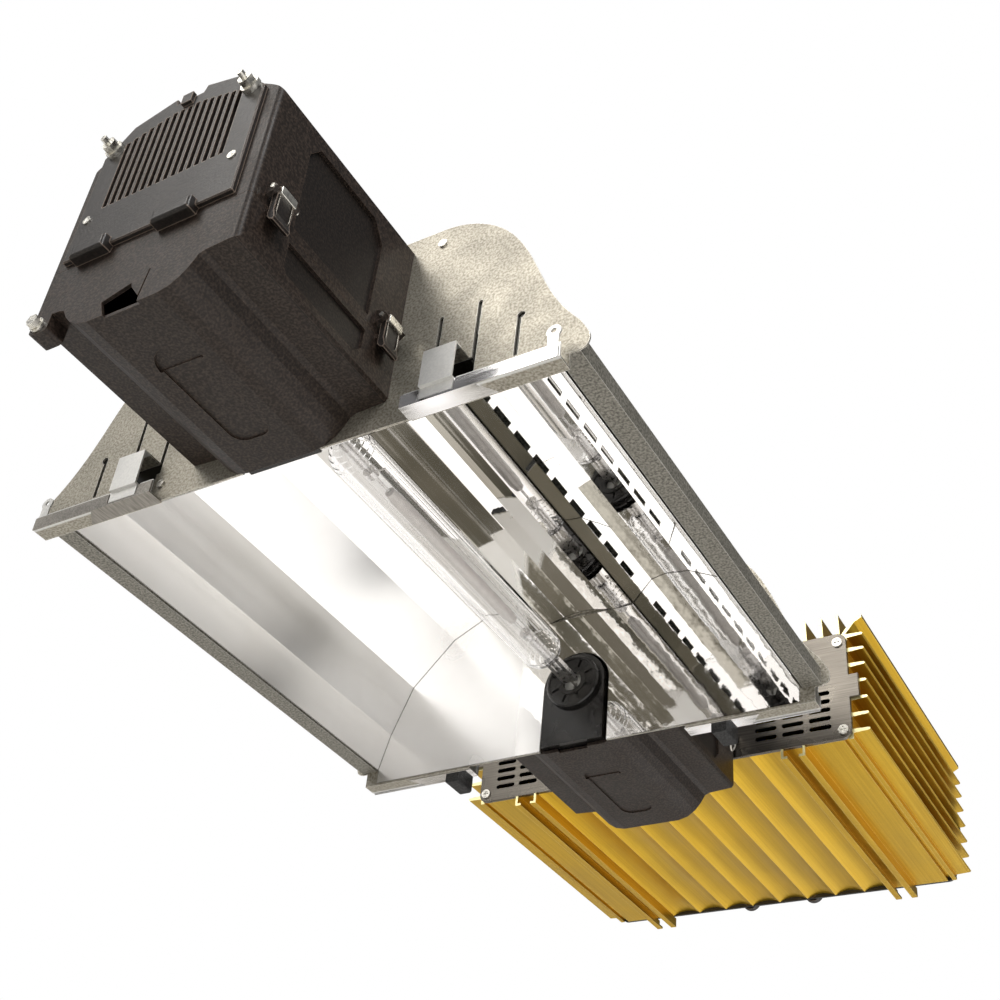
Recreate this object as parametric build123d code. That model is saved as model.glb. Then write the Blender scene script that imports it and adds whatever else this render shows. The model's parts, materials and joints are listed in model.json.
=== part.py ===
from build123d import *
import math
import os

# Hanging double-ended grow lamp: lamp housing, reflector and ballast on one line.
# Drawn in a working frame, mm: X across, Y from the ventilated housing (near) to the ballast (far),
# Z up, x = 0 on the mid plane, y = 0 on the near end plate, z = 0 at the reflector mouth.
# On export everything is moved so that the origin is the centre of the front hanger eye.

# ---- driving dimensions ----
EYE_Y = 60.0                 # front hanger eye
REAR_EYE_Y = 665.0           # rear hanger eye
EYE_Z = 205.0                # height of both eyes above the mouth
EYE_R = 5.0
REFL_L = 375.0               # between the two end plates
SHEET = 1.2                  # galvanised sheet
MIRROR_T = 0.5               # mirror sheet
LAMP_Z = 55.0                # lamp axis height
LAMP_R = 16.5
TUB_W = 74.0                 # half width of the housing covers
SEAM_Z = 58.0                # parting line between cover and box
NEAR_Y = -142.0              # outer face of the near housing
FAR_Y = 519.0                # outer face of the far housing
BALLAST_Y0 = 520.0
BALLAST_Y1 = 816.0
BALLAST_W = 176.0            # half width of the ballast body without fins
BALLAST_Z0 = 50.0
BALLAST_Z1 = 150.0
SKIN = 3.0                   # wall of the ballast base
RAILS = (117.5, 134.0)       # walls of the slotted rail under the ballast
WAVE = 28.8                  # pitch of the scallops under the ballast
WAVE_DEPTH = 3.6
PORT_X = 33.0                # mains and control fittings on the far ballast plate
PORT_Z = 58.0

HOOD = [(199.2, 26), (199.2, 14), (187, 14), (183.2, 41), (176, 66), (164.5, 91), (149.5, 111),
        (127, 132.5), (106, 143), (92, 149), (60, 152)]
LOBE = [(184, 13.6), (176, 45), (159.5, 87.5), (123, 127), (97, 140.5), (76, 143.5), (64, 141),
        (48.5, 122.4)]
CENTRE = [(47.5, 121.4), (30, 120.6), (14, 122.6), (0, 123.4)]


# ---- helpers ----
def slab(x0, x1, y0, y1, z0, z1):
    return Pos((x0 + x1) / 2, (y0 + y1) / 2, (z0 + z1) / 2) * Box(x1 - x0, y1 - y0, z1 - z0)


def rod_x(y, z, r, x0, x1):
    return Pos((x0 + x1) / 2, y, z) * Rot(0, 90, 0) * Cylinder(r, x1 - x0)


def rod_y(x, z, r, y0, y1):
    return Pos(x, (y0 + y1) / 2, z) * Rot(90, 0, 0) * Cylinder(r, y1 - y0)


def rod_z(x, y, r, z0, z1):
    return Pos(x, y, (z0 + z1) / 2) * Cylinder(r, z1 - z0)


def along_y(points, y0, y1):
    face = Face(Wire.make_polygon([(x, y0, z) for x, z in points]))
    return extrude(face, amount=y1 - y0, dir=(0, 1, 0))


def along_x(points, x0, x1):
    face = Face(Wire.make_polygon([(x0, y, z) for y, z in points]))
    return extrude(face, amount=x1 - x0, dir=(1, 0, 0))


def along_z(points, z0, z1):
    face = Face(Wire.make_polygon([(x, y, z0) for x, y in points]))
    return extrude(face, amount=z1 - z0, dir=(0, 0, 1))


def group(shapes):
    # several pieces as one shape, separate where they do not touch
    total = shapes[0]
    for shape in shapes[1:]:
        total += shape
    return total


def both(shape):
    return shape + mirror(shape, about=Plane.YZ)


def other_side(shape):
    return mirror(shape, about=Plane.YZ)


def far_copy(shape):
    return mirror(shape, about=Plane.XZ.offset(-REFL_L / 2))


def mirrored_path(half):
    return half + [(-x, z) for x, z in reversed(half) if x != 0]


def ribbon(path, t):
    # closed outline of a bent sheet: the path and its copy moved t to the left, with mitred bends
    moved = []
    last = len(path) - 1
    for i, (x, z) in enumerate(path):
        ax, az = path[max(i - 1, 0)]
        bx, bz = path[min(i + 1, last)]
        normals = []
        if i > 0:
            normals.append((-(z - az) / math.hypot(x - ax, z - az), (x - ax) / math.hypot(x - ax, z - az)))
        if i < last:
            normals.append((-(bz - z) / math.hypot(bx - x, bz - z), (bx - x) / math.hypot(bx - x, bz - z)))
        nx = sum(n[0] for n in normals) / len(normals)
        nz = sum(n[1] for n in normals) / len(normals)
        k = t / (nx * nx + nz * nz)
        moved.append((x + nx * k, z + nz * k))
    return path + moved[::-1]


def obround_y(x, z, length, height, y0, y1):
    r = height / 2
    core = slab(x - length / 2 + r, x + length / 2 - r, y0, y1, z - r, z + r)
    for side in (-1, 1):
        core += rod_y(x + side * (length / 2 - r), z, r, y0, y1)
    return core


def screw_y(x, z, r, head, length, y, side):
    # cross-recess pan screw along Y, head outside of y, shank going to the other side
    tip = y - side * length
    shape = rod_y(x, z, r, min(y, tip), max(y, tip))
    shape += rod_y(x, z, head, min(y, y + side * 1.6), max(y, y + side * 1.6))
    outer = y + side * 1.6
    inner = y + side * 0.7
    for a, b in ((head * 0.62, 0.55), (0.55, head * 0.62)):
        shape -= slab(x - a, x + a, min(inner, outer), max(inner, outer), z - b, z + b)
    return shape


nodes = {}

# ---- reflector: end plates ----
shoulder = Spline([(98, 0, 160.5), (114, 0, 157), (137, 0, 143), (161, 0, 108.6), (177, 0, 71), (186, 0, 54),
                   (199, 0, 36)])
ear = Spline([(199, 0, 36), (204.2, 0, 27), (206.6, 0, 20), (204, 0, 13.2)],
             tangents=[(0.55, 0, -0.83), (-1, 0, -0.6)])
edges = [Line((0, 0, 160.5), (98, 0, 160.5)), shoulder, ear, Line((204, 0, 13.2), (200.4, 0, 12)),
         Line((200.4, 0, 12), (195, 0, 12)), Line((195, 0, 12), (195, 0, 0)), Line((195, 0, 0), (0, 0, 0)),
         Line((0, 0, 0), (0, 0, 160.5))]
half_plate = extrude(Face(Wire(edges)), amount=SHEET, dir=(0, -1, 0))
half_plate -= slab(-1, 94, -20, 20, -1, 1.4)
for x, z0, z1 in ((104, 26, 77), (131, 8, 79.5), (159.5, 24, 55)):
    half_plate -= slab(x - 1.4, x + 1.4, -5, 5, z0, z1) + rod_y(x, z1, 1.4, -5, 5)
half_plate -= rod_y(160.6, 56, 2.6, -5, 5)
half_plate -= slab(105.4, 131, -5, 5, 7, 35)
flange = slab(94, 195, -12, -SHEET, 0, SHEET) + slab(94, 195, -12, -12 + SHEET, SHEET, 10.5)
flange += slab(186.5, 193.5, -12, -12 + SHEET, 10.5, 20) + rod_y(190, 20.5, 4.6, -12, -12 + SHEET)
flange -= rod_y(190, 21, 1.8, -15, -5)
flange -= slab(104.8, 129, -13, -10.5, 6.6, 12)
tab = slab(106, 128, -15.4, -SHEET, 35, 36.2) + slab(106, 128, -15.4, -14.2, 9, 36.2)
tab += slab(106, 128, -15.4, -12, 9, 10.2) + slab(106, 128, -13.2, -12, 1.2, 10.2)
half_plate += flange + tab
plate = both(half_plate)
plate -= slab(-29, 29, -5, 5, -1, 56) + rod_y(0, 56, 29, -5, 5)
for x in (-62, 62):
    plate -= rod_y(x, 100, 2.6, -5, 5)
nodes["end_plate_near"] = plate
nodes["end_plate_far"] = far_copy(plate)

# ---- reflector: bright edge trims hooked over the flanges ----
TRIM_X = 194.0
strip = along_z([(93, -13.3), (142, -13.3), (152, -1.4), (93, -1.4)], -0.9, -0.1)
trim = strip + slab(93, TRIM_X, -13.3, -12.5, -0.9, 8.4)
trim -= slab(104.8, 129, -16, -12.0, 0.6, 12)
nodes["trim_near_right"] = trim
nodes["trim_near_left"] = other_side(trim)
nodes["trim_far_right"] = far_copy(trim)
nodes["trim_far_left"] = far_copy(other_side(trim))

# ---- reflector: outer hood with its side rails ----
Y0 = 0.15
Y1 = REFL_L - 0.15
hood = along_y(ribbon(mirrored_path(HOOD), 1.0), Y0, Y1)
for x in (-24, 24):
    for y in (EYE_Y - 32, EYE_Y + 32):
        hood -= rod_z(x, y, 2.1, 140, 160)
nodes["hood_shell"] = hood

# ---- reflector: mirror sheets ----
lobe = along_y(ribbon(LOBE, -MIRROR_T), 0.9, REFL_L - 0.9)
for i in range(12):
    lobe -= Pos(57, 28.8 + 28.6 * i, 132.9) * Rot(0, 40, 0) * Box(8, 20, 4.2)
nodes["reflector_right"] = lobe
nodes["reflector_left"] = other_side(lobe)
centre = along_y(ribbon(mirrored_path(CENTRE), -MIRROR_T), 0.9, REFL_L - 0.9)
nodes["reflector_centre"] = centre

inside = [(x - 0.15, z - 0.15) for x, z in LOBE[:-1]] + [(48.3, 121.2), (46.5, 120.8)]
end_sheet = along_y([(183.4, 1.6)] + inside + [(-x, z) for x, z in reversed(inside)] + [(-183.4, 1.6)], 0.2, 0.8)
end_sheet -= slab(-29, 29, -5, 5, 0, 56) + rod_y(0, 56, 29, -5, 5)
nodes["mirror_end_near"] = end_sheet
nodes["mirror_end_far"] = far_copy(end_sheet)

# ---- reflector: rivets of both end plates and the rubber clamps under the far flange ----
rivets = both(group([rod_y(x, z, 3.0, -2.6, -SHEET - 0.02) for x, z in ((176, 18), (96, 147), (98.5, 15.5))]))
nodes["plate_rivets"] = rivets + far_copy(rivets)

clamp_y = REFL_L + 13.7
clamps = []
for x in (-111, 120):
    clamp = slab(x - 6, x + 6, REFL_L + 2.5, REFL_L + 24, -8.6, -1.1)
    clamp += slab(x - 6, x + 6, clamp_y, REFL_L + 24, -2, 8)
    clamps.append(fillet(clamp.edges().filter_by(Axis.Y).group_by(Axis.Z)[0], 2.2))
nodes["far_clamps"] = group(clamps)

# ---- lamp ----
tube_y0 = 62.0
tube_y1 = REFL_L - 62.0


def turned(profile, z=LAMP_Z):
    # solid of revolution about the lamp axis from (radius, y) points
    face = Face(Wire.make_polygon([(r, y, z) for r, y in profile]))
    return revolve(face, axis=Axis((0, 0, z), (0, 1, 0)), revolution_arc=360)


dome = [(LAMP_R * math.cos(math.radians(a)), 17 * math.sin(math.radians(a))) for a in (15, 30, 45, 60, 72)]
outer = [(5.0, tube_y0 - 19)] + [(r, tube_y0 - s) for r, s in reversed(dome)] + [(LAMP_R, tube_y0)]
outer += [(LAMP_R, tube_y1)] + [(r, tube_y1 + s) for r, s in dome] + [(5.0, tube_y1 + 19)]
inner = [(max(r - 1.2, 3.8), y) for r, y in outer]
inner[0] = (3.8, tube_y0 - 19)
inner[-1] = (3.8, tube_y1 + 19)
nodes["lamp_envelope"] = turned(outer + inner[::-1])

arc = [(0, 104), (3.6, 104), (3.9, 108), (4.6, 112), (4.6, 263), (3.9, 267), (3.6, 271), (0, 271)]
nodes["arc_tube"] = turned(arc)
near_end = turned([(0, 30), (3.6, 30), (3.6, 74), (1.1, 76), (1.1, 103.6), (0, 103.6)])
near_end += slab(-6.2, 6.2, 10, 42, LAMP_Z - 2, LAMP_Z + 2) + rod_y(0, LAMP_Z, 1.2, -9, 11)
nodes["lamp_end_near"] = near_end
nodes["lamp_end_far"] = far_copy(near_end)
WIRE_R = 0.7
WIRE_X = 10.5
frame_wires = rod_y(WIRE_X, LAMP_Z, WIRE_R, 82, REFL_L - 82)
for y in (82, REFL_L - 82):
    frame_wires += rod_x(y, LAMP_Z, WIRE_R, 3.9, WIRE_X + WIRE_R)
    frame_wires += rod_y(0, LAMP_Z, 4.6, y - 3, y + 3) - rod_y(0, LAMP_Z, 1.25, y - 5, y + 5)
nodes["lamp_frame"] = frame_wires

# ---- lamp holders in their black shrouds ----
SHROUD_R = 26.5
shroud = slab(-SHROUD_R, SHROUD_R, -13, 4, 3.2, 56) + rod_y(0, 56, SHROUD_R, -13, 4)
shroud -= slab(-24.5, 24.5, -15, 2, 5.2, 56) + rod_y(0, 56, 24.5, -15, 2)
shroud -= rod_y(0, LAMP_Z, 12, 0, 6)
nodes["shroud_near"] = shroud
nodes["shroud_far"] = far_copy(shroud)
bezel = rod_y(0, LAMP_Z + 0.5, 23, 4.2, 8.6)
bezel = fillet(bezel.edges().group_by(Axis.Y)[-1], 1.8)
bezel -= rod_y(0, LAMP_Z, 8.2, 0, 12)
bezel -= rod_y(0, LAMP_Z + 0.5, 20, 7.8, 12) - rod_y(0, LAMP_Z + 0.5, 12, 7.8, 12)
for a in range(0, 360, 45):
    bezel -= Pos(0, 8, LAMP_Z + 0.5) * Rot(0, a + 22.5, 0) * slab(12.5, 19, -1.6, 1, -1.1, 1.1)
nodes["holder_bezel_near"] = bezel
nodes["holder_bezel_far"] = far_copy(bezel)
block = slab(-15, 15, -26, 1.7, 42, 71)
block -= slab(-1.6, 1.6, -30, 10, 40, LAMP_Z + 2)
nodes["holder_block_near"] = block
nodes["holder_block_far"] = far_copy(block)

# ---- housing covers: same moulding at both ends, taken off downwards ----
TUB_L = 140.6
FOOT_X = -66.5
FOOT_Z = 14.5


def tub(y0):
    # y0 is the -Y end; the +Y end of the near cover and the -Y end of the far cover meet the end plates
    y1 = y0 + TUB_L
    half = [(0, 0), (25, 0), (33, 2), (39.7, 6.5), (44.4, 11.8), (48.6, 18.6), (52.5, 20.2), (TUB_W - 1.6, 21.5),
            (TUB_W, 24), (TUB_W, SEAM_Z - 0.3)]
    core = [(0, 2.2), (24, 2.2), (31, 4), (37.8, 8.2), (42.4, 13.2), (47, 20.6), (52, 22.4), (TUB_W - 4.2, 23.8),
            (TUB_W - 3.6, 26), (TUB_W - 3.6, 60)]
    body = along_y(half + [(-x, z) for x, z in reversed(half[1:])], y0, y1)
    body = fillet(body.edges().filter_by(Axis.Z).group_by(Axis.Y)[0], 4.0)
    body -= along_y(core + [(-x, z) for x, z in reversed(core[1:])], y0 + 2.2, y1 - 2.2)
    # long shallow recess in both side walls
    recess = along_x([(y0 + 36, 52), (y0 + 36, 34), (y0 + 40, 29.5), (y1 - 38, 29.5), (y1 - 31, 37),
                      (y1 - 31, 52)], TUB_W - 2.2, TUB_W + 1)
    body -= both(recess)
    # rounded panel with a deeper D pocket at its start, in the keel
    panel = slab(-12, 15, y0 + 44, y0 + 116, -1, 1.1)
    body -= fillet(panel.edges().filter_by(Axis.Z).group_by(Axis.Y)[-1], 9)
    pocket = rod_z(1.5, y0 + 49, 15.5, -1, 1.8) & slab(-14, 17, y0 + 33, y0 + 49, -2, 2)
    body -= pocket
    # stepped notch and slit at the lower edge of the -Y face, and a foot at its left corner
    body -= along_y([(-13, -1), (-18, 11.7), (2, 18.3), (3.5, 14), (11.4, 3.6), (11.4, -1)], y0 - 1, y0 + 2.4)
    body -= along_y([(11.4, 3.4), (13.8, 24.5), (12.6, 24.5), (10.4, 5)], y0 - 1, y0 + 2.4)
    foot = slab(-72.5, -58.5, y0, y0 + 13, 8.5, 24)
    body += fillet(foot.edges().filter_by(Axis.Y).group_by(Axis.Z)[0], 3)
    return body


def cover_lips(sites):
    # catch ledges of the latches
    return both(group([slab(TUB_W - 0.5, TUB_W + 1.6, y - 7, y + 7, 53.4, 56.4) for y in sites]))


NEAR_LATCHES = (NEAR_Y + 20, NEAR_Y + 126)
FAR_LATCHES = (REFL_L + SHEET + 18,)
near_cover = tub(NEAR_Y) + cover_lips(NEAR_LATCHES)
near_cover -= slab(-27.5, 27.5, -6, 0, 2.6, 70)
far_y0 = REFL_L + SHEET + 0.6
far_cover = tub(far_y0) + cover_lips(FAR_LATCHES)
far_cover -= slab(-27.5, 27.5, far_y0 - 2, far_y0 + 4, 2.6, 70)
near_cover -= rod_y(FOOT_X, FOOT_Z, 2.3, NEAR_Y - 1, NEAR_Y + 14)
nodes["near_cover"] = near_cover
nodes["far_cover"] = far_cover

# captive zinc screw in the foot of the near cover
screw_head = extrude(Plane.XZ.offset(-(NEAR_Y - 1.5)) * RegularPolygon(radius=4.2, side_count=6), amount=4)
cover_screw = Pos(FOOT_X, 0, FOOT_Z) * screw_head + rod_y(FOOT_X, FOOT_Z, 5.0, NEAR_Y - 1.6, NEAR_Y - 0.05)
nodes["cover_screw"] = cover_screw + rod_y(FOOT_X, FOOT_Z, 2.2, NEAR_Y - 5, NEAR_Y + 12)

# ---- near box: fan and ignitor housing above the cover ----
BOX_TOP = 148.0
CROWN = 178.0
CORNER_X = 53.0
CORNER_Z = 156.0


def crowned(w, z0, z_side, z_top, y0, y1):
    outline = Wire([Line((-w, y0, z0), (w, y0, z0)), Line((w, y0, z0), (w, y0, z_side)),
                    ThreePointArc((w, y0, z_side), (0, y0, z_top), (-w, y0, z_side)),
                    Line((-w, y0, z_side), (-w, y0, z0))])
    return extrude(Face(outline), amount=y1 - y0, dir=(0, 1, 0))


box_y1 = -SHEET - 0.15
near_box = crowned(TUB_W, SEAM_Z, BOX_TOP, CROWN, NEAR_Y, box_y1)
near_box = fillet(near_box.edges().filter_by(Axis.Z).group_by(Axis.Y)[0], 4.0)
near_box -= crowned(TUB_W - 3.6, SEAM_Z - 1, BOX_TOP - 1.5, CROWN - 2.6, NEAR_Y + 2.4, box_y1 - 2.4)
upper_recess = along_x([(NEAR_Y + 36, 64), (NEAR_Y + 34, 126), (NEAR_Y + 42, 138), (box_y1 - 42, 138),
                        (box_y1 - 31, 124), (box_y1 - 31, 64)], TUB_W - 2.3, TUB_W + 1)
near_box -= both(upper_recess)
near_box -= rod_y(0, 116, 37, NEAR_Y - 1, NEAR_Y + 3)
for x in (-54.5, 54.5):
    near_box -= rod_y(x, 93, 1.8, NEAR_Y - 1, NEAR_Y + 3)
for x in (-CORNER_X, CORNER_X):
    near_box -= rod_y(x, CORNER_Z, 2.3, NEAR_Y - 1, NEAR_Y + 3)
for x in (-32, -16, 0, 16, 32):
    near_box -= slab(x - 4, x + 4, box_y1 - 3, box_y1 + 1, 96, 148)
near_box -= slab(-27.5, 27.5, box_y1 - 3, box_y1 + 1, 50, 84)
nodes["near_box"] = near_box

# ---- louvred vent plate on the near box ----
vent_y1 = NEAR_Y - 0.15
vent_y0 = vent_y1 - 3.4
vent_edges = [Line((-62.5, vent_y0, 60.5), (62.5, vent_y0, 60.5)), Line((62.5, vent_y0, 60.5), (62.5, vent_y0, 154)),
              Line((62.5, vent_y0, 154), (54, vent_y0, 163)), Line((54, vent_y0, 163), (44, vent_y0, 175)),
              Line((44, vent_y0, 175), (12, vent_y0, 184)), Line((12, vent_y0, 184), (10, vent_y0, 178)),
              Line((10, vent_y0, 178), (-10, vent_y0, 178)), Line((-10, vent_y0, 178), (-12, vent_y0, 184)),
              Line((-12, vent_y0, 184), (-44, vent_y0, 175)), Line((-44, vent_y0, 175), (-54, vent_y0, 163)),
              Line((-54, vent_y0, 163), (-62.5, vent_y0, 154)), Line((-62.5, vent_y0, 154), (-62.5, vent_y0, 60.5))]
vent = extrude(Face(Wire(vent_edges)), amount=vent_y1 - vent_y0, dir=(0, 1, 0))
vent = chamfer(vent.faces().sort_by(Axis.Y)[0].edges(), 0.7)
LOUVRES = 16
for i in range(LOUVRES):
    x = -44 + i * 88 / (LOUVRES - 1)
    top = 171.5 - abs(x) * 0.27 if abs(x) > 9 else 168.5
    vent -= slab(x - 1.75, x + 1.75, vent_y0 - 1, vent_y1 + 1, 100, top)
for x in (-54.5, 54.5):
    vent -= rod_y(x, 93, 1.9, vent_y0 - 1, vent_y1 + 1)
for x in (-CORNER_X, CORNER_X):
    vent -= rod_y(x, CORNER_Z, 2.3, vent_y0 - 1, vent_y1 + 1)
for x0, x1 in ((-52, -26), (9, 37)):
    hook = slab(x0, x1, vent_y0 - 4.8, vent_y1, 55.2, 65)
    hook = fillet(hook.edges().group_by(Axis.Y)[0], 2.2)
    hook -= slab(x0 - 1, x1 + 1, NEAR_Y - 0.5, vent_y1 + 1, 50, 58.2)
    vent += hook
vent += slab(-4, 4, vent_y0 - 2.6, vent_y0 + 0.5, 171, 179.5)
nodes["vent_plate"] = vent

vent_screw = rod_y(54.5, 93, 1.7, vent_y0 - 0.1, NEAR_Y + 8) + rod_y(54.5, 93, 3.0, vent_y0 - 0.9, vent_y0 - 0.05)
nodes["vent_screws"] = both(vent_screw)

# zinc hex screws with a square nut plate at the two upper corners
corner_head = extrude(Plane.XZ.offset(-(vent_y0 - 3.2)) * RegularPolygon(radius=5.2, side_count=6), amount=4.6)
corner = Pos(CORNER_X, 0, CORNER_Z) * corner_head + rod_y(CORNER_X, CORNER_Z, 6.4, vent_y0 - 3.2, vent_y0 - 0.05)
nodes["corner_screws"] = both(corner + rod_y(CORNER_X, CORNER_Z, 2.2, vent_y0 - 12, NEAR_Y + 9))

# ---- cooling fan behind the vent plate ----
FAN_Z = 116.0
FAN_Y = NEAR_Y + 2.6
fan_frame = slab(-40, 40, FAN_Y, FAN_Y + 25, FAN_Z - 40, FAN_Z + 40)
fan_frame = fillet(fan_frame.edges().filter_by(Axis.Y), 4)
fan_frame -= rod_y(0, FAN_Z, 37.5, FAN_Y - 1, FAN_Y + 26)
for a in (45, 135, 225, 315):
    fan_frame += Pos(0, FAN_Y + 22.5, FAN_Z) * Rot(0, a, 0) * slab(12, 38.5, -2, 2.5, -2.5, 2.5)
fan_frame += rod_y(0, FAN_Z, 15, FAN_Y + 20.5, FAN_Y + 25)
fan_frame += rod_y(0, FAN_Z, 4.0, FAN_Y + 9, FAN_Y + 21)
nodes["fan_frame"] = fan_frame
hub = rod_y(0, FAN_Z, 16, FAN_Y + 1.5, FAN_Y + 19.6)
hub -= rod_y(0, FAN_Z, 13.5, FAN_Y + 4, FAN_Y + 21)
hub += rod_y(0, FAN_Z, 7, FAN_Y + 4, FAN_Y + 19.6)
hub -= rod_y(0, FAN_Z, 4.05, FAN_Y + 8.4, FAN_Y + 21)
for i in range(7):
    blade = slab(15, 36, -1, 1, -9.5, 9.5)
    hub += Pos(0, FAN_Y + 11, FAN_Z) * Rot(0, i * 360 / 7, 0) * Rot(48, 0, 0) * blade
nodes["fan_rotor"] = hub

# ignitor block and terminal strip inside the near box
ignitor = slab(-30, 14, -62, -22, 126, 160)
nodes["ignitor"] = fillet(ignitor.edges().filter_by(Axis.Z), 3)
terminals = slab(24, 66, -40, -22, 74, 88)
for i in range(4):
    terminals -= rod_z(29.5 + 10.3 * i, -31, 2.6, 70, 80)
nodes["terminal_strip"] = terminals

# ---- latches on both sides of both covers ----
LATCH_X = TUB_W + 5.2
LATCH_Z = 68.0


def latch(y, half):
    arm = along_y([(LATCH_X - 2.4, LATCH_Z - 2), (LATCH_X - 2.4, 48), (LATCH_X - 0.6, 45.5), (LATCH_X + 2.2, 44),
                   (LATCH_X + 3.0, 46), (LATCH_X + 1.4, 52), (LATCH_X + 1.6, LATCH_Z)], y - half, y + half)
    arm += rod_y(LATCH_X, LATCH_Z, 3.0, y - half, y + half)
    arm -= rod_y(LATCH_X, LATCH_Z, 1.56, y - half - 1, y + half + 1)
    return arm


def bracket(y, half):
    outline = [(TUB_W - 0.6, LATCH_Z - 5), (LATCH_X, LATCH_Z - 3), (LATCH_X + 3, LATCH_Z), (LATCH_X, LATCH_Z + 3.4),
               (TUB_W - 0.6, LATCH_Z + 6)]
    ears = along_y(outline, y - half - 3.3, y - half - 0.4) + along_y(outline, y + half + 0.4, y + half + 3.3)
    return ears - rod_y(LATCH_X, LATCH_Z, 1.5, y - half - 4, y + half + 4)


for label, y in (("near_front", NEAR_LATCHES[0]), ("near_back", NEAR_LATCHES[1]), ("far", FAR_LATCHES[0])):
    right = latch(y, 7)
    nodes[f"latch_{label}_right"] = right
    nodes[f"latch_{label}_left"] = other_side(right)
latch_rows = NEAR_LATCHES + FAR_LATCHES
nodes["latch_pins"] = both(group([rod_y(LATCH_X, LATCH_Z, 1.5, y - 11.2, y + 11.2) for y in latch_rows]))
for y in NEAR_LATCHES:
    nodes["near_box"] += both(bracket(y, 7))

# ---- far box: neck between reflector and ballast ----
NECK_HOLES = [(x, z) for x in (-60, 60) for z in (70, 132)]
far_box_y0 = REFL_L + SHEET + 0.3
far_box = crowned(TUB_W, SEAM_Z, BOX_TOP - 6, 156, far_box_y0, FAR_Y)
far_box -= crowned(TUB_W - 2.4, SEAM_Z - 1, BOX_TOP - 8, 153, far_box_y0 + 2.4, FAR_Y - 2.4)
far_box -= slab(-27.5, 27.5, far_box_y0 - 1, far_box_y0 + 3, 50, 84)
far_box -= rod_y(0, 100, 14, FAR_Y - 3, FAR_Y + 1)
far_box += both(bracket(FAR_LATCHES[0], 7))
for x, z in NECK_HOLES:
    far_box -= rod_y(x, z, 2.2, FAR_Y - 3, FAR_Y + 1)
nodes["far_box"] = far_box
shanks = [rod_y(x, z, 2.1, FAR_Y - 2.6, BALLAST_Y0 + 8) for x, z in NECK_HOLES]
nodes["neck_bolts"] = group(shanks + [rod_y(x, z, 4.2, FAR_Y - 6.4, FAR_Y - 2.5) for x, z in NECK_HOLES])

# ---- ballast: gold extrusions ----
BASE_Y0 = BALLAST_Y0 + 3.2
BASE_Y1 = BALLAST_Y1 - 0.2
BASE_TOP = BALLAST_Z0 + SKIN
base_edges = []
for i in range(4):
    x = i * WAVE
    crest = (x + WAVE / 2, BASE_Y0, BALLAST_Z0 + WAVE_DEPTH)
    base_edges.append(ThreePointArc((x, BASE_Y0, BALLAST_Z0), crest, (x + WAVE, BASE_Y0, BALLAST_Z0)))
flat = [(4 * WAVE, BALLAST_Z0), (167.6, BALLAST_Z0), (167.6, BASE_TOP), (124, BASE_TOP), (118, BASE_TOP + WAVE_DEPTH),
        (0, BASE_TOP + WAVE_DEPTH), (0, BALLAST_Z0)]
base_edges += Polyline([(x, BASE_Y0, z) for x, z in flat]).edges()
base = both(extrude(Face(Wire(base_edges)), amount=BASE_Y1 - BASE_Y0, dir=(0, 1, 0)))
for x in RAILS:
    outward = 1 if x > 125 else -1
    lip = min(x, x - outward * 3.4), max(x, x - outward * 3.4)
    wall = min(x, x + outward * 2.2), max(x, x + outward * 2.2)
    rail = slab(wall[0], wall[1], BALLAST_Y0 - 1.5, BALLAST_Y1 + 5, 40, BALLAST_Z0 - 0.9)
    rail += slab(lip[0], lip[1], BALLAST_Y0 - 1.5, BALLAST_Y1 + 5, 40, 42)
    rail += slab(wall[0], wall[1], BASE_Y0, BASE_Y1, 44, BALLAST_Z0 + 1)
    base += both(rail)
nodes["ballast_base"] = base

PLATE_HOLES = ((169, 57.5), (168.5, 141))
inner_w = BALLAST_W - 4
shell = slab(-BALLAST_W, BALLAST_W, BASE_Y0, BASE_Y1, BALLAST_Z0, BALLAST_Z1)
shell -= slab(-inner_w, inner_w, BASE_Y0 - 1, BASE_Y1 + 1, BALLAST_Z0 - 1, BALLAST_Z1 - 4)
shell -= slab(-168, 168, BASE_Y0 - 1, BASE_Y1 + 1, BALLAST_Z0 - 1, BALLAST_Z0 + 4)
boss = slab(163, 172.5, BASE_Y0, BASE_Y1, 53.4, 62) + slab(163, 172.5, BASE_Y0, BASE_Y1, 136, 146.5)
for x, z in PLATE_HOLES:
    boss -= rod_y(x, z, 1.7, BALLAST_Y0, BALLAST_Y1 + 5)
shell += both(boss)
for z in (57, 72, 87, 103, 119, 134, 148):
    side_fin = [(BALLAST_W - 0.5, z - 1.9), (189, z - 1.2), (190, z), (189, z + 1.2), (BALLAST_W - 0.5, z + 1.9)]
    shell += both(along_y(side_fin, BASE_Y0, BASE_Y1))
root = BALLAST_Z1 - 0.5
for i in range(12):
    x = 8 + i * 14.6
    top_fin = [(x - 1.7, root), (x - 1.1, 171), (x, 172), (x + 1.1, 171), (x + 1.7, root)]
    shell += both(along_y(top_fin, BASE_Y0, BASE_Y1))
corner_strut = [(BALLAST_W - 3, BALLAST_Z1 - 2), (183, 160), (190, 164), (190, 167), (181, 162.5),
                (BALLAST_W - 5, BALLAST_Z1)]
shell += both(along_y(corner_strut, BASE_Y0, BASE_Y1))
shell -= slab(-38.9, 38.9, REAR_EYE_Y - 34, REAR_EYE_Y + 34, BALLAST_Z1, 180)
for x in (-30, 30):
    for y in (REAR_EYE_Y - 26, REAR_EYE_Y + 26):
        shell -= rod_z(x, y, 2.1, 140, 160)
nodes["ballast_shell"] = shell

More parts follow.
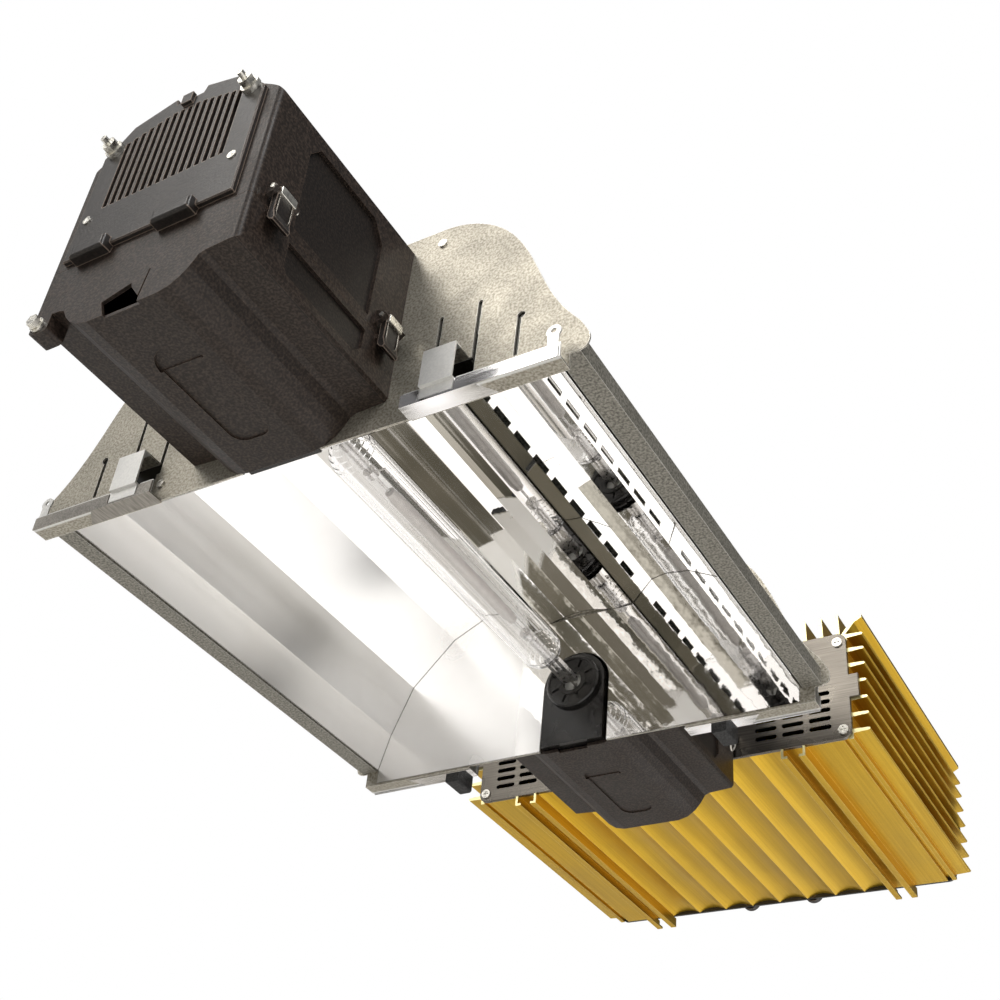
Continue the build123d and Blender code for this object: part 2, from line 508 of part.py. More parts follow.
# ---- ballast: end plates ----
end = slab(-BALLAST_W, BALLAST_W, BALLAST_Y0, BALLAST_Y0 + 3, BALLAST_Z0, BALLAST_Z1)
end = fillet(end.edges().filter_by(Axis.Y), 8)
end += both(slab(BALLAST_W - 2, 184, BALLAST_Y0, BALLAST_Y0 + 3, 87, 108.6))
end = chamfer(end.faces().sort_by(Axis.Y)[0].edges(), 0.4)
for x, z in PLATE_HOLES:
    end -= both(rod_y(x, z, 2.2, BALLAST_Y0 - 1, BALLAST_Y0 + 4))
far_end = Pos(0, 3, 0) * mirror(end, about=Plane.XZ.offset(-(BALLAST_Y0 + BALLAST_Y1) / 2))
for x in (102.4, 126, 149.5):
    for z in (63, 71, 79, 86.8, 94.6):
        end -= both(obround_y(x, z, 19, 4, BALLAST_Y0 - 1, BALLAST_Y0 + 4))
for x, z in NECK_HOLES:
    end -= rod_y(x, z, 2.2, BALLAST_Y0 - 1, BALLAST_Y0 + 4)
end -= rod_y(0, 100, 14, BALLAST_Y0 - 1, BALLAST_Y0 + 4)
for x in (-PORT_X, PORT_X):
    far_end -= rod_y(x, PORT_Z, 7.2, BALLAST_Y1 - 5, BALLAST_Y1 + 5)
nodes["ballast_plate_near"] = end
nodes["ballast_plate_far"] = far_end

plate_screws = [screw_y(x, z, 1.65, 4.3, 12, BALLAST_Y0 - 0.05, -1) for x, z in PLATE_HOLES]
plate_screws += [screw_y(x, z, 1.65, 4.3, 12, BALLAST_Y1 + 3.05, 1) for x, z in PLATE_HOLES]
nodes["ballast_screws"] = both(group(plate_screws))

# ---- ballast: inner parts ----
BOARD_FEET = [(x, y) for x in (-140, 140) for y in (BALLAST_Y0 + 26, BALLAST_Y1 - 24)]
board = slab(-150, 150, BALLAST_Y0 + 14, BALLAST_Y1 - 12, 63, 64.6)
stand_offs = []
for x, y in BOARD_FEET:
    board -= rod_z(x, y, 2.1, 60, 70)
    stand_offs.append(rod_z(x, y, 4, BASE_TOP + 0.1, 62.9) + rod_z(x, y, 2.0, 60, 66.5))
nodes["circuit_board"] = board
nodes["board_standoffs"] = group(stand_offs)
core = slab(-110, -50, 600, 670, 65, 118) - slab(-101, -89, 595, 675, 74, 109) - slab(-71, -59, 595, 675, 74, 109)
nodes["choke_core"] = core
coil = slab(-100.6, -59.4, 592, 678, 75, 108)
coil = fillet(coil.edges().filter_by(Axis.Z), 5)
coil -= slab(-89.4, -70.6, 599.6, 670.4, 60, 120)
coil -= slab(-115, -100.2, 599.6, 670.4, 60, 120) + slab(-59.8, -45, 599.6, 670.4, 60, 120)
nodes["choke_coil"] = coil
CAP_SITES = ((20, 590), (20, 630), (20, 670), (60, 590), (60, 630))
nodes["capacitors"] = group([fillet(rod_z(x, y, 15, 65, 105).edges(), 1.5) for x, y in CAP_SITES])

# mains inlet and control socket on the far plate


def port(x):
    neck = rod_y(x, PORT_Z, 7.1, BALLAST_Y1, BALLAST_Y1 + 10)
    return neck + rod_y(x, PORT_Z, 9.5, BALLAST_Y1 + 3.1, BALLAST_Y1 + 9)


inlet = port(-PORT_X) - rod_y(-PORT_X, PORT_Z, 4.6, BALLAST_Y1 - 3, BALLAST_Y1 + 12)
socket = port(PORT_X) - slab(PORT_X - 4.4, PORT_X + 4.4, BALLAST_Y1 - 3, BALLAST_Y1 + 12, PORT_Z - 3, PORT_Z + 3)
nodes["mains_gland"] = inlet
nodes["control_socket"] = socket

# ---- hangers ----
FRONT_BOLTS = [(x, EYE_Y + dy) for x in (-24, 24) for dy in (-32, 32)]
REAR_BOLTS = [(x, REAR_EYE_Y + dy) for x in (-30, 30) for dy in (-26, 26)]
FRONT_TOP = 154.8
REAR_TOP = BALLAST_Z1 + 2.8


def hanger(y, top, half_y, bolts):
    shape = slab(-36, 36, y - half_y - 7, y + half_y + 7, top - 2.5, top)
    shape += along_x([(y - 26, top - 0.5), (y + 26, top - 0.5), (y + 11, EYE_Z + 4), (y + 6, EYE_Z + 11),
                      (y - 6, EYE_Z + 11), (y - 11, EYE_Z + 4)], -1.5, 1.5)
    shape -= rod_x(y, EYE_Z, EYE_R, -5, 5)
    for bolt_x, bolt_y in bolts:
        shape -= rod_z(bolt_x, bolt_y, 2.1, top - 4, top + 1)
    return shape


def hanger_bolt(x, y, top):
    head = Plane.XY.offset(top + 0.05) * Pos(x, y) * RegularPolygon(radius=4.2, side_count=6)
    return rod_z(x, y, 2.0, top - 9, top + 0.1) + extrude(head, amount=3.2)


nodes["hanger_front"] = hanger(EYE_Y, FRONT_TOP, 32, FRONT_BOLTS)
nodes["hanger_rear"] = hanger(REAR_EYE_Y, REAR_TOP, 26, REAR_BOLTS)
all_bolts = [hanger_bolt(x, y, FRONT_TOP) for x, y in FRONT_BOLTS]
all_bolts += [hanger_bolt(x, y, REAR_TOP) for x, y in REAR_BOLTS]
nodes["hanger_bolts"] = group(all_bolts)

for name, shape in nodes.items():
    export_step(Pos(0, -EYE_Y, -EYE_Z) * shape, f"parts/{name}.step")
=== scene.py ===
import json
import math

import bmesh
import bpy
from mathutils import Matrix, Vector


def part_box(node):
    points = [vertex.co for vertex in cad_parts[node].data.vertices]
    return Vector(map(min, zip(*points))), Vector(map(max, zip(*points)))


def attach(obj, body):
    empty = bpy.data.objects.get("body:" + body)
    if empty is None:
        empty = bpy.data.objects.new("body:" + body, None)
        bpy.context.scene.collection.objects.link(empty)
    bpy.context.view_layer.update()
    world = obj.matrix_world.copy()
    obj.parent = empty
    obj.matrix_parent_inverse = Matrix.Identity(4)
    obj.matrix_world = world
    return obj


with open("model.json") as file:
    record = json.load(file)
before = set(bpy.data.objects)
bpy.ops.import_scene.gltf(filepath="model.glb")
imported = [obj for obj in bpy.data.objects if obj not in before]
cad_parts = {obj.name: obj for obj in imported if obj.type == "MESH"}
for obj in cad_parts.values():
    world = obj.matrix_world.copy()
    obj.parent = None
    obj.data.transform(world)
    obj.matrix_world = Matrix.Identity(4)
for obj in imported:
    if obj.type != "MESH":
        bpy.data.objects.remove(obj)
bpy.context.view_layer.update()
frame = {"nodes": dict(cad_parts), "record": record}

nodes = frame["nodes"]
MM = 0.001
CAMERA_PLACE = Vector((0.4768, -0.5316, -0.7237))
CAMERA_LOOK = Vector((-0.4411, 0.6555, 0.6130))
CAMERA_ROLL = math.radians(6.4)
CAMERA_LENS = 50.5
FLOOR_Z = -1.35
SURROUND_STRENGTH = 0.42
HOUSING_SIDE = 74 * MM  # half the housings' width
RECESS_PLANE = 71.75 * MM  # how far out the shallow panels in the housings' sides lie
RECESS_REACH = 0.35 * MM
SATIN_EDGE = -52 * MM  # the sheets are satin left of here, and polished from 6 mm further right
BLACK = (0, 0, 0)
WHITE = (1, 1, 1)
LIP_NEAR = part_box("end_plate_near")[0][1] + 5 * MM
LIP_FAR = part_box("end_plate_far")[1][1] - 5 * MM


# ---- node helpers ----
class Shader:
    """A material's node tree, with short calls for the textures that the materials share."""

    def __init__(self, name, color=(0.8, 0.8, 0.8), metallic=0.0, roughness=0.5):
        self.material = bpy.data.materials.new(name)
        self.material.use_nodes = True
        self.tree = self.material.node_tree
        self.bsdf = self.tree.nodes["Principled BSDF"]
        self.bsdf.inputs["Base Color"].default_value = (*color, 1)
        self.bsdf.inputs["Metallic"].default_value = metallic
        self.bsdf.inputs["Roughness"].default_value = roughness
        self.place = self.tree.nodes.new("ShaderNodeTexCoord").outputs["Object"]

    def node(self, kind, **values):
        made = self.tree.nodes.new("ShaderNode" + kind)
        for key, value in values.items():
            setattr(made, key, value)
        return made

    def link(self, source, target):
        self.tree.links.new(source, target)

    def stretch(self, scale):
        mapping = self.node("Mapping")
        mapping.inputs["Scale"].default_value = scale
        self.link(self.place, mapping.inputs["Vector"])
        return mapping.outputs["Vector"]

    def noise(self, scale, detail=2.0, stretch=None):
        made = self.node("TexNoise")
        made.inputs["Scale"].default_value = scale
        made.inputs["Detail"].default_value = detail
        self.link(self.stretch(stretch) if stretch else self.place, made.inputs["Vector"])
        return made.outputs["Fac"]

    def ramp(self, source, stops):
        made = self.node("ValToRGB")
        elements = made.color_ramp.elements
        while len(elements) < len(stops):
            elements.new(0.5)
        for element, (at, color) in zip(elements, stops):
            element.position = at
            element.color = (*color, 1) if len(color) == 3 else color
        self.link(source, made.inputs["Fac"])
        return made.outputs["Color"]

    def span(self, source, low, high, from_low=0.3, from_high=0.7):
        made = self.node("MapRange")
        made.inputs["From Min"].default_value = from_low
        made.inputs["From Max"].default_value = from_high
        made.inputs["To Min"].default_value = low
        made.inputs["To Max"].default_value = high
        self.link(source, made.inputs["Value"])
        return made.outputs["Result"]

    def mix(self, a, b, factor, blend="MIX"):
        made = self.node("Mix", data_type="RGBA", blend_type=blend)
        for value, socket in ((factor, made.inputs[0]), (a, made.inputs[6]), (b, made.inputs[7])):
            if isinstance(value, (int, float)):
                socket.default_value = value
            elif isinstance(value, tuple):
                socket.default_value = (*value, 1)
            else:
                self.link(value, socket)
        return made.outputs[2]

    def fade(self, strength, factor):
        """A grey factor that rises from 0 to strength."""
        return self.mix(BLACK, (strength, strength, strength), factor)

    def along(self, axis):
        """The place along one axis, X, Y or Z, in metres."""
        split = self.node("SeparateXYZ")
        self.link(self.place, split.inputs["Vector"])
        return split.outputs[axis]

    def facing(self, direction):
        """1 where the surface looks in the direction, down to -1 where it looks away."""
        dot = self.node("VectorMath", operation="DOT_PRODUCT")
        self.link(self.node("NewGeometry").outputs["True Normal"], dot.inputs[0])
        dot.inputs[1].default_value = direction
        return dot.outputs["Value"]

    def painted_edge_mask(self, width=0.0006):
        """About 1 along edges and creases and 0 elsewhere: the mask for painted edge highlights and painted
        shade.
        """
        bevel = self.node("Bevel", samples=4)
        bevel.inputs["Radius"].default_value = width
        geometry = self.node("NewGeometry")
        dot = self.node("VectorMath", operation="DOT_PRODUCT")
        self.link(bevel.outputs["Normal"], dot.inputs[0])
        self.link(geometry.outputs["Normal"], dot.inputs[1])
        return self.span(dot.outputs["Value"], 1.0, 0.0, 0.80, 0.99)

    def bump(self, *layers):
        """Adds bump layers, each (height, strength, distance in metres)."""
        normal = None
        for height, strength, distance in layers:
            made = self.node("Bump")
            made.inputs["Strength"].default_value = strength
            made.inputs["Distance"].default_value = distance
            self.link(height, made.inputs["Height"])
            if normal:
                self.link(normal, made.inputs["Normal"])
            normal = made.outputs["Normal"]
        self.link(normal, self.bsdf.inputs["Normal"])

    def set(self, **sockets):
        for name, value in sockets.items():
            socket = self.bsdf.inputs[name.replace("_", " ")]
            if isinstance(value, (int, float)):
                socket.default_value = value
            elif isinstance(value, tuple):
                socket.default_value = (*value, 1)
            else:
                self.link(value, socket)
        return self


# ---- materials ----
def galvanised(name, light, dark, roughness=0.33, metallic=0.85, lip=False):
    """lip paints a highlight on the folded front lips of the two end plates, which stand 10 mm off the
    plates.
    """
    s = Shader(name, metallic=metallic, roughness=roughness)
    grain = s.noise(620, 3)
    blotch = s.noise(45, 4)
    color = s.mix(dark, light, s.span(grain, 0, 1, 0.36, 0.62))
    color = s.mix(color, s.ramp(blotch, [(0.3, (0.84, 0.84, 0.81)), (0.7, WHITE)]), 0.5, "MULTIPLY")
    # painted highlight: the sheet edges are brightened toward near white
    color = s.mix(color, (0.95, 0.93, 0.88), s.fade(0.85, s.painted_edge_mask(0.0007)))
    # painted highlight: the folded front lips are made lighter than the rest of the sheet
    if lip:
        near_lip = s.span(s.along("Y"), 1, 0, LIP_NEAR, LIP_NEAR + MM)
        far_lip = s.span(s.along("Y"), 0, 1, LIP_FAR - MM, LIP_FAR)
        for on_lip in (near_lip, far_lip):
            color = s.mix(color, s.mix(color, (0.86, 0.86, 0.85), 0.75), on_lip)
    s.set(Base_Color=color, Roughness=s.span(blotch, roughness - 0.06, roughness + 0.10))
    s.bump((grain, 0.05, 0.0002), (blotch, 0.03, 0.001))
    return s.material


def chrome():
    s = Shader("bright_trim", (0.9, 0.9, 0.92), 1.0, 0.08)
    streak = s.noise(30, 3, stretch=(0.4, 6, 6))
    s.set(Base_Color=s.ramp(streak, [(0.3, (0.80, 0.80, 0.82)), (0.7, (0.95, 0.95, 0.96))]),
          Roughness=s.span(streak, 0.05, 0.16))
    s.bump((s.noise(20, 2), 0.05, 0.001))
    return s.material


def mirror_sheet(name="mirror_sheet", dark_side=None):
    """The sheets left of the lamp are satin and the rest are polished.

    dark_side is the direction that the sheet's back looks; that face is coloured near black as painted shade,
    if it is seen."""
    s = Shader(name, (0.93, 0.93, 0.94), 1.0, 0.03)
    roll = s.noise(14, 2, stretch=(1, 0.05, 1))
    line = s.noise(70, 2, stretch=(1, 0.015, 1))
    smudge = s.noise(9, 4)
    color = s.ramp(smudge, [(0.3, (0.88, 0.87, 0.86)), (0.7, (0.96, 0.96, 0.955))])
    # painted shade: the face that looks toward dark_side is coloured near black
    if dark_side:
        color = s.mix(color, (0.02, 0.02, 0.018), s.span(s.facing(dark_side), 0, 1, 0.4, 0.6))
    # painted shade: the sheet edges and facet creases are darkened near black
    color = s.mix(color, (0.10, 0.09, 0.08), s.fade(0.9, s.painted_edge_mask(0.0012)))
    polished = s.fade(1, s.span(smudge, 0.012, 0.05))
    satin = s.mix((0.25, 0.25, 0.25), (0.31, 0.31, 0.31), smudge)
    is_satin = s.span(s.along("X"), 1, 0, SATIN_EDGE, SATIN_EDGE + 6 * MM)
    s.set(Base_Color=color, Roughness=s.mix(polished, satin, is_satin))
    s.bump((roll, 0.05, 0.003), (line, 0.06, 0.001), (s.noise(5, 1, stretch=(1, 0.25, 1)), 0.03, 0.01))
    return s.material


def zinc(name="zinc", light=(0.78, 0.76, 0.70)):
    s = Shader(name, light, 1.0, 0.28)
    spot = s.noise(350, 3)
    s.set(Base_Color=s.ramp(spot, [(0.3, tuple(v * 0.7 for v in light)), (0.65, light)]),
          Roughness=s.span(spot, 0.2, 0.42))
    s.bump((spot, 0.15, 0.0003))
    return s.material


def plastic(name, base, lift, roughness, grain_scale=640, grain_bump=0.35, edge=2.4, highlight_width=0.0006,
            specular=0.4):
    """Moulded plastic with a painted highlight along its edges; edge is how much brighter than lift that
    highlight is, and the argument after edge is its width.
    """
    s = Shader(name, base, 0.0, roughness)
    grain = s.noise(grain_scale, 2)
    cloud = s.noise(25, 4)
    color = s.mix(base, lift, s.span(grain, 0, 1, 0.42, 0.66))
    color = s.mix(color, s.ramp(cloud, [(0.3, (0.82, 0.82, 0.82)), (0.7, WHITE)]), 0.6, "MULTIPLY")
    # painted shade: the shallow panels in the housings' sides are darkened to 0.45 of their colour
    depth = s.node("Math", operation="ABSOLUTE")
    s.link(s.along("X"), depth.inputs[0])
    recess = s.node("Math", operation="COMPARE")
    s.link(depth.outputs["Value"], recess.inputs[0])
    recess.inputs[1].default_value = RECESS_PLANE
    recess.inputs[2].default_value = RECESS_REACH
    color = s.mix(color, s.mix(color, (0.45, 0.45, 0.45), 1.0, "MULTIPLY"), recess.outputs["Value"])
    # painted highlight along the edges
    color = s.mix(color, tuple(min(1, v * edge) for v in lift), s.fade(0.6, s.painted_edge_mask(highlight_width)))
    s.set(Base_Color=color, Roughness=s.span(cloud, roughness - 0.06, roughness + 0.08),
          Specular_IOR_Level=specular)
    s.bump((grain, grain_bump, 0.0004), (cloud, 0.05, 0.001))
    return s.material


def gold_anodised():
    s = Shader("gold_anodised", (0.83, 0.56, 0.10), 0.92, 0.36)
    die = s.noise(700, 3, stretch=(1, 0.01, 1))
    cloud = s.noise(14, 3)
    speck = s.noise(1300, 2)
    color = s.ramp(die, [(0.3, (0.60, 0.36, 0.018)), (0.7, (0.73, 0.47, 0.036))])
    color = s.mix(color, s.ramp(cloud, [(0.3, (0.84, 0.84, 0.80)), (0.7, WHITE)]), 0.7, "MULTIPLY")
    color = s.mix(color, s.ramp(speck, [(0.35, (0.86, 0.86, 0.80)), (0.6, WHITE)]), 0.6, "MULTIPLY")
    # painted highlights: pale yellow along the edges, and on the faces that look toward -Y, the fin ends
    color = s.mix(color, (0.98, 0.86, 0.40), s.fade(0.7, s.painted_edge_mask(0.0008)))
    color = s.mix(color, (1.0, 0.92, 0.50), s.span(s.facing((0, -1, 0)), 0, 1, 0.9, 0.99))
    s.set(Base_Color=color, Roughness=s.span(cloud, 0.30, 0.42))
    s.bump((die, 0.08, 0.0001), (speck, 0.05, 0.0001))
    return s.material


def brushed(name, base, roughness, stretch=(0.02, 1, 1), metallic=1.0):
    s = Shader(name, base, metallic, roughness)
    brush = s.noise(900, 3, stretch=stretch)
    cloud = s.noise(20, 3)
    color = s.ramp(brush, [(0.3, tuple(v * 0.7 for v in base)), (0.7, tuple(min(1, v * 1.2) for v in base))])
    color = s.mix(color, s.ramp(cloud, [(0.3, (0.85, 0.85, 0.85)), (0.7, WHITE)]), 0.6, "MULTIPLY")
    s.set(Base_Color=color, Roughness=s.span(cloud, roughness - 0.05, roughness + 0.1))
    s.bump((brush, 0.12, 0.0002))
    return s.material


def lamp_glass():
    s = Shader("lamp_glass", (1, 1, 1), 0.0, 0.0)
    haze = s.noise(30, 3)
    s.set(Transmission_Weight=1.0, IOR=1.45, Roughness=s.span(haze, 0.0, 0.03))
    s.set(Base_Color=s.ramp(haze, [(0.3, (0.97, 0.97, 0.98)), (0.7, WHITE)]))
    return s.material


def ceramic(name, base, roughness=0.5):
    s = Shader(name, base, 0.0, roughness)
    spot = s.noise(200, 4)
    s.set(Base_Color=s.ramp(spot, [(0.3, tuple(v * 0.85 for v in base)), (0.7, base)]),
          Roughness=s.span(spot, roughness - 0.1, roughness + 0.1))
    s.bump((spot, 0.1, 0.0003))
    return s.material


MATERIALS = {
    "galvanised": galvanised("galvanised", (0.50, 0.47, 0.40), (0.26, 0.235, 0.19), 0.42, 0.6, lip=True),
    "rail_steel": galvanised("rail_steel", (0.36, 0.34, 0.29), (0.13, 0.12, 0.10), 0.5, 0.25),
    "bright_trim": chrome(),
    "mirror_sheet": mirror_sheet(),
    "zinc": zinc(),
    "lamp_metal": zinc("lamp_metal", (0.7, 0.68, 0.66)),
    "rubber_black": plastic("rubber_black", (0.02, 0.02, 0.02), (0.05, 0.05, 0.05), 0.75),
    "holder_black": plastic("holder_black", (0.009, 0.008, 0.008), (0.022, 0.020, 0.018), 0.14, 60, 0.12),
    "housing_plastic": plastic("housing_plastic", (0.014, 0.008, 0.005), (0.058, 0.040, 0.030), 0.46,
                               specular=0.3),
    "vent_black": plastic("vent_black", (0.010, 0.007, 0.006), (0.026, 0.020, 0.016), 0.36,
                          edge=24, highlight_width=0.0013),
    "gold_anodised": gold_anodised(),
    "dark_steel": brushed("dark_steel", (0.17, 0.155, 0.135), 0.24),
    "black_sheet": brushed("black_sheet", (0.03, 0.03, 0.03), 0.45, metallic=0.2),
    "lamp_glass": lamp_glass(),
    "arc_ceramic": ceramic("arc_ceramic", (0.66, 0.62, 0.58), 0.4),
    "holder_ceramic": ceramic("holder_ceramic", (0.80, 0.79, 0.74)),
    "board_green": plastic("board_green", (0.02, 0.10, 0.05), (0.04, 0.16, 0.08), 0.4, 300),
    "iron_core": brushed("iron_core", (0.18, 0.18, 0.19), 0.5, (1, 1, 0.05)),
    "copper_coil": brushed("copper_coil", (0.62, 0.30, 0.12), 0.35, (1, 0.03, 1)),
    "capacitor_can": plastic("capacitor_can", (0.03, 0.035, 0.12), (0.05, 0.06, 0.18), 0.3, 300),
    "brass_standoff": zinc("brass_standoff", (0.80, 0.64, 0.32)),
}

for subpart in frame["record"]["subparts"]:
    mesh = nodes[subpart["node"]].data
    mesh.materials.clear()
    mesh.materials.append(MATERIALS[subpart["material_slot"]])
for node, outward in (("mirror_end_near", (0, -1, 0)), ("mirror_end_far", (0, 1, 0))):
    nodes[node].data.materials[0] = mirror_sheet(node, outward)
nodes["trim_near_left"].data.materials[0] = brushed("dull_trim", (0.34, 0.32, 0.29), 0.36, (1, 0.1, 1))


# ---- wire bails, clips and caps ----
def add_piece(name, data, body, slot):
    piece = bpy.data.objects.new(name, data)
    bpy.context.scene.collection.objects.link(piece)
    data.materials.append(MATERIALS[slot])
    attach(piece, body)
    return piece


def wire(name, points, radius, body, slot, closed=False):
    """A bent wire through the points, with its corners rounded by a NURBS spline."""
    curve = bpy.data.curves.new(name, "CURVE")
    curve.dimensions = "3D"
    curve.bevel_depth = radius
    curve.bevel_resolution = 3
    curve.use_fill_caps = True
    curve.resolution_u = 6
    spline = curve.splines.new("NURBS")
    spline.points.add(len(points) - 1)
    for point, place in zip(spline.points, points):
        point.co = (*place, 1)
    spline.use_cyclic_u = closed
    spline.order_u = 3
    spline.use_endpoint_u = not closed
    return add_piece(name, curve, body, slot)


def plate(name, outline, x0, x1, bevel, body, slot):
    """A flat piece across X from (y, z) points, with rounded edges."""
    work = bmesh.new()
    ring = [work.verts.new((x0, y, z)) for y, z in outline]
    face = work.faces.new(ring)
    moved = bmesh.ops.extrude_face_region(work, geom=[face])["geom"]
    for vert in [item for item in moved if isinstance(item, bmesh.types.BMVert)]:
        vert.co.x = x1
    bmesh.ops.recalc_face_normals(work, faces=work.faces)
    bmesh.ops.bevel(work, geom=list(work.edges), offset=bevel, segments=3, affect="EDGES", profile=0.6)
    data = bpy.data.meshes.new(name)
    work.to_mesh(data)
    work.free()
    for polygon in data.polygons:
        polygon.use_smooth = True
    return add_piece(name, data, body, slot)


def latch_dress(label, side):
    """The bright cap over a latch's pivot and the wire bail on its arm; side is 1 at +X and -1 at -X."""
    low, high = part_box(f"latch_{label}")
    body = f"latch_{label}_body"
    outer = high[0] if side > 0 else low[0]
    mid = (low[1] + high[1]) / 2
    top = high[2]
    half = (high[1] - low[1]) / 2
    arm = outer - side * 1.2 * MM
    legs = half - 1.6 * MM
    path = [(arm, mid - legs, top - 5 * MM), (arm + side * 0.4 * MM, mid - legs, top - 14 * MM),
            (arm, mid - legs, top - 21 * MM), (arm, mid, top - 24 * MM), (arm, mid + legs, top - 21 * MM),
            (arm + side * 0.4 * MM, mid + legs, top - 14 * MM), (arm, mid + legs, top - 5 * MM)]
    wire(f"bail_{label}", path, 0.55 * MM, body, "dark_steel")
    cap = [(mid - half + 0.4 * MM, top - 6.2 * MM), (mid + half - 0.4 * MM, top - 6.2 * MM),
           (mid + half - 0.4 * MM, top - 0.6 * MM), (mid + half - 2.4 * MM, top - 0.1 * MM),
           (mid - half + 2.4 * MM, top - 0.1 * MM), (mid - half + 0.4 * MM, top - 0.6 * MM)]
    plate(f"cap_{label}", cap, outer - side * 3.2 * MM, outer + side * 0.6 * MM, 0.5 * MM, body, "zinc")


for label in ("near_front", "near_back", "far"):
    latch_dress(f"{label}_right", 1)
    latch_dress(f"{label}_left", -1)

# spring clips on the far box's sides, over the seam at its ballast end
box_low, box_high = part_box("far_box")
seam = box_low[2]
for side in (1, -1):
    wall = side * HOUSING_SIDE
    y = box_high[1] - 11 * MM
    reach = wall + side * 2.4 * MM
    clip = [(wall + side * 0.6 * MM, y - 5 * MM, seam + 12 * MM), (reach, y - 5.5 * MM, seam + 6 * MM),
            (reach + side * 1.6 * MM, y - 5 * MM, seam - 1 * MM), (reach, y - 2 * MM, seam - 7.5 * MM),
            (reach, y + 2 * MM, seam - 7.5 * MM), (reach + side * 1.6 * MM, y + 5 * MM, seam - 1 * MM),
            (reach, y + 5.5 * MM, seam + 6 * MM), (wall + side * 0.6 * MM, y + 5 * MM, seam + 12 * MM)]
    end = "right" if side > 0 else "left"
    wire(f"spring_clip_{end}", clip, 0.85 * MM, "lamp_body", "zinc")
    keeper = [(y - 7 * MM, seam + 9.5 * MM), (y + 7 * MM, seam + 9.5 * MM), (y + 7 * MM, seam + 13 * MM),
              (y + 4 * MM, seam + 15 * MM), (y - 4 * MM, seam + 15 * MM), (y - 7 * MM, seam + 13 * MM)]
    plate(f"clip_keeper_{end}", keeper, wall - side * 0.4 * MM, wall + side * 2.6 * MM, 0.5 * MM, "lamp_body",
          "dark_steel")


# ---- stage, camera and light ----
def area_light(name, place, aim, width, height, power, color=(1, 1, 1)):
    data = bpy.data.lights.new(name, "AREA")
    data.shape = "RECTANGLE"
    data.size = width
    data.size_y = height
    data.energy = power
    data.color = color
    light = bpy.data.objects.new(name, data)
    light.location = place
    light.rotation_euler = (Vector(aim) - Vector(place)).to_track_quat("-Z", "Y").to_euler()
    bpy.context.scene.collection.objects.link(light)


bpy.context.scene.view_settings.view_transform = "Standard"
camera = bpy.data.objects.new("camera", bpy.data.cameras.new("camera"))
camera.data.lens = CAMERA_LENS
camera.data.sensor_width = 36
camera.data.clip_start = 0.01
camera.location = CAMERA_PLACE
turn = CAMERA_LOOK.to_track_quat("-Z", "Y").to_matrix().to_4x4() @ Matrix.Rotation(CAMERA_ROLL, 4, "Z")
camera.rotation_euler = turn.to_euler()
bpy.context.scene.collection.objects.link(camera)
bpy.context.scene.camera = camera

floor_mesh = bpy.data.meshes.new("floor")
grid = bmesh.new()
bmesh.ops.create_grid(grid, x_segments=2, y_segments=2, size=6)
grid.to_mesh(floor_mesh)
grid.free()
floor = bpy.data.objects.new("floor", floor_mesh)
floor.location = (0, 0.3, FLOOR_Z)
pale = Shader("floor_pale", (0.9, 0.9, 0.89), 0.0, 0.9)
pale.set(Base_Color=pale.ramp(pale.noise(1.5, 2), [(0.3, (0.88, 0.88, 0.87)), (0.7, (0.92, 0.92, 0.91))]),
         Specular_IOR_Level=0.0)
floor_mesh.materials.append(pale.material)
bpy.context.scene.collection.objects.link(floor)


def studio_world():
    """White behind the lamp, and a soft surround that is brighter on the ventilated end's side."""
    world = bpy.data.worlds.new("studio")
    world.use_nodes = True
    tree = world.node_tree
    surround = tree.nodes["Background"]
    place = tree.nodes.new("ShaderNodeTexCoord").outputs["Generated"]
    toward = tree.nodes.new("ShaderNodeVectorMath")
    toward.operation = "DOT_PRODUCT"
    toward.inputs[1].default_value = Vector((-0.45, -0.75, 0.35)).normalized()
    tree.links.new(place, toward.inputs[0])
    ramp = tree.nodes.new("ShaderNodeValToRGB")
    stops = ((0.0, 0.30), (0.35, 0.42), (0.6, 0.85), (1.0, 1.0))
    while len(ramp.color_ramp.elements) < len(stops):
        ramp.color_ramp.elements.new(0.5)
    for element, (at, grey) in zip(ramp.color_ramp.elements, stops):
        element.position = at
        element.color = (grey, grey, grey, 1)
    half = tree.nodes.new("ShaderNodeMapRange")
    half.inputs["From Min"].default_value = -1
    tree.links.new(toward.outputs["Value"], half.inputs["Value"])
    tree.links.new(half.outputs["Result"], ramp.inputs["Fac"])
    tree.links.new(ramp.outputs["Color"], surround.inputs["Color"])
    surround.inputs["Strength"].default_value = SURROUND_STRENGTH
    backdrop = tree.nodes.new("ShaderNodeBackground")
    backdrop.inputs["Color"].default_value = (1, 1, 1, 1)
    backdrop.inputs["Strength"].default_value = 1.0
    switch = tree.nodes.new("ShaderNodeMixShader")
    tree.links.new(tree.nodes.new("ShaderNodeLightPath").outputs["Is Camera Ray"], switch.inputs["Fac"])
    tree.links.new(surround.outputs["Background"], switch.inputs[1])
    tree.links.new(backdrop.outputs["Background"], switch.inputs[2])
    tree.links.new(switch.outputs["Shader"], tree.nodes["World Output"].inputs["Surface"])
    bpy.context.scene.world = world


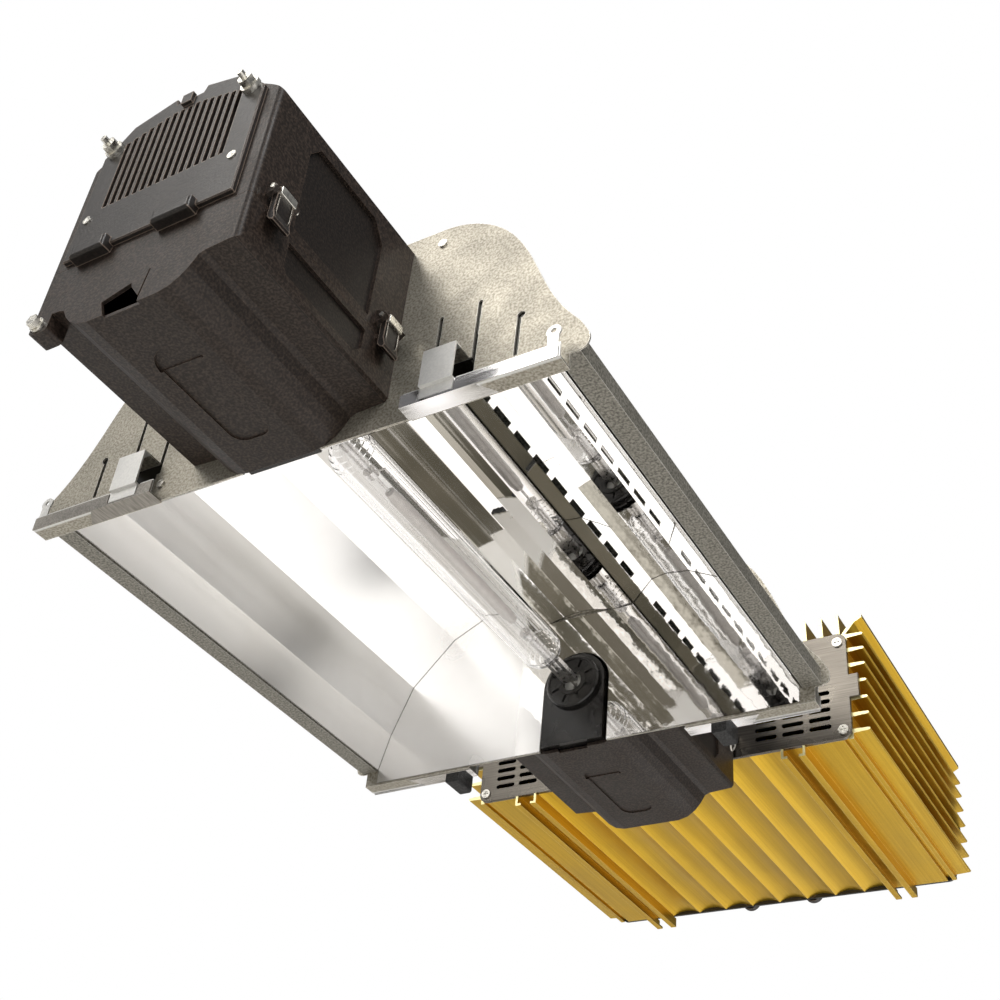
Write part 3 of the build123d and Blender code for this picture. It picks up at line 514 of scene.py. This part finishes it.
studio_world()
area_light("key", (-0.75, -1.7, 1.0), (0, -0.1, -0.1), 0.9, 0.8, 12, (1, 0.97, 0.92))
area_light("key_high", (-0.95, -1.7, 2.1), (0.1, 0, -0.1), 0.9, 0.7, 10, (1, 0.97, 0.93))
area_light("edge_kick", (1.12, -0.95, 0.9), (0.07, -0.2, -0.09), 0.3, 1.0, 16)
area_light("left_strip", (-1.9, 0.9, -0.55), (0, 0.5, -0.15), 2.6, 0.7, 5)


def low_card(name, x0, x1, height, finish):
    """A long card above the floor, parallel to the lamp, that only reflections show."""
    mesh = bpy.data.meshes.new(name)
    mesh.from_pydata([(x0, -5, 0), (x1, -5, 0), (x1, 6, 0), (x0, 6, 0)], [], [(0, 1, 2, 3)])
    mesh.materials.append(finish)
    card = bpy.data.objects.new(name, mesh)
    card.location = (0, 0, FLOOR_Z + height)
    card.visible_camera = False
    card.visible_diffuse = False
    card.visible_shadow = False
    bpy.context.scene.collection.objects.link(card)


# Only reflections show the glowing card and the dark flags: they draw the long bands in the polished sheets.
glow = Shader("glow_card", (0.9, 0.9, 0.9), 0.0, 0.9)
glow_tone = glow.ramp(glow.noise(0.7, 1), [(0.35, (0.66, 0.63, 0.60)), (0.62, (1.0, 0.99, 0.97))])
streaks = glow.ramp(glow.noise(7, 3, stretch=(1, 0.03, 1)),
                    [(0.38, (0.10, 0.09, 0.07)), (0.43, (0.42, 0.40, 0.35)), (0.50, (0.80, 0.78, 0.75)),
                     (0.56, WHITE)])
glow_tone = glow.mix(glow_tone, streaks, glow.span(glow.along("X"), 1, 0, -0.1, 0.1), "MULTIPLY")
glow.set(Base_Color=glow_tone, Emission_Color=glow_tone, Emission_Strength=1.18)
flag = Shader("flag_cloth", (0.10, 0.09, 0.06), 0.0, 0.9)
flag_tone = flag.ramp(flag.noise(3, 2), [(0.3, (0.10, 0.09, 0.06)), (0.7, (0.24, 0.21, 0.15))])
flag.set(Base_Color=flag_tone)
low_card("glow_card", -4, 4, 0.01, glow.material)
FLAGS = ((-2.3, 0.3), (-1.62, 0.14), (-1.42, 0.05), (-1.24, 0.12), (-1.04, 0.06), (-0.84, 0.05),
         (-0.74, 0.03), (-0.56, 0.05), (-0.38, 0.12), (-0.05, 0.08))  # middle and width along X
for i, (x, width) in enumerate(FLAGS):
    low_card(f"flag_{i}", x - width / 2, x + width / 2, 0.02, flag.material)
